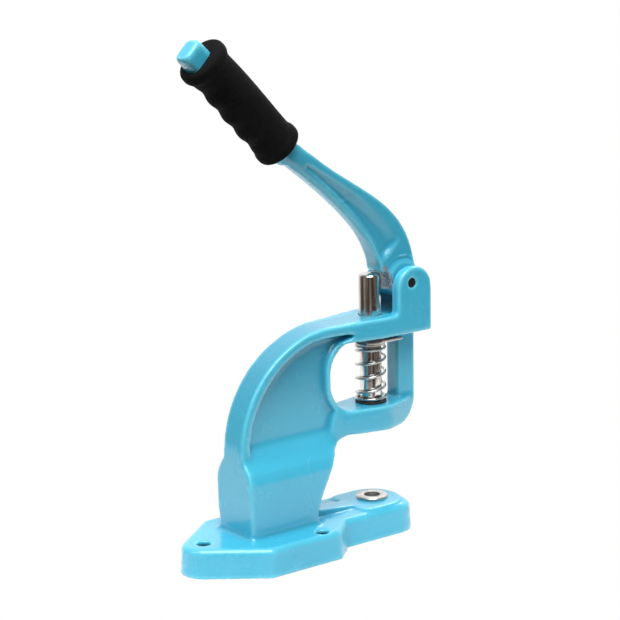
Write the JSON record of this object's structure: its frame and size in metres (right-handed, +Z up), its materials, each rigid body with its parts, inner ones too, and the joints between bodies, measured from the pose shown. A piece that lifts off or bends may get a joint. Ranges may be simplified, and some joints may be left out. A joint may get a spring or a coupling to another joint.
{
  "type": "hand lever press",
  "caption": "Cast hand lever press for buttons, snaps and eyelets: base with bolt holes, C-frame, sprung vertical ram with die bore, pivoting handle lever with foam grip.",
  "frame": {"origin": "on the ram and die-socket axis, at the underside of the base", "axes": "+Z up along the ram axis, +X towards the rounded tip of the base tongue and the lever pivot, the column and the handle lie towards -X, the object is symmetric about the XZ plane"},
  "size_m": [0.2083, 0.086, 0.3659],
  "materials": {
    "blue_enamel": "gloss",
    "chrome_steel": "polished",
    "ground_steel": "satin",
    "black_oxide": "satin",
    "bronze": "satin",
    "black_rubber": "matte",
    "foam": "matte"
  },
  "bodies": {
    "frame": {"frame_casting": "blue_enamel", "die_socket": "ground_steel", "die_socket_screw": "black_oxide", "lower_guide_bush": "bronze", "upper_guide_bush": "bronze", "spring_seat_washer": "black_rubber", "pivot_pin": "black_oxide", "pin_set_screw": "black_oxide"},
    "ram": {"ram": "chrome_steel", "ram_die_screw": "black_oxide", "guide_fork": "ground_steel", "spring_top_washer": "ground_steel", "stop_buffer": "black_rubber", "return_spring": "chrome_steel"},
    "lever": {"lever_casting": "blue_enamel", "lever_bush": "bronze", "foam_grip": "foam"}
  },
  "joints": [
    {"name": "lever_swing", "type": "hinge", "parent": "frame", "child": "lever", "pos_m": [0.0238, 0, 0.1823], "axis": [0, -1, 0], "range_deg": [0, 50], "stiffness_Nm_per_rad": 1, "springref_deg": -57.3},
    {"name": "ram_slide", "type": "slide", "parent": "frame", "child": "ram", "axis": [0, 0, -1], "range_m": [0, 0.0163], "deforming": ["return_spring"]}
  ],
  "couplings": [
    {"joint": "ram_slide", "follows": "lever_swing", "m_per_rad": 0.0185}
  ]
}
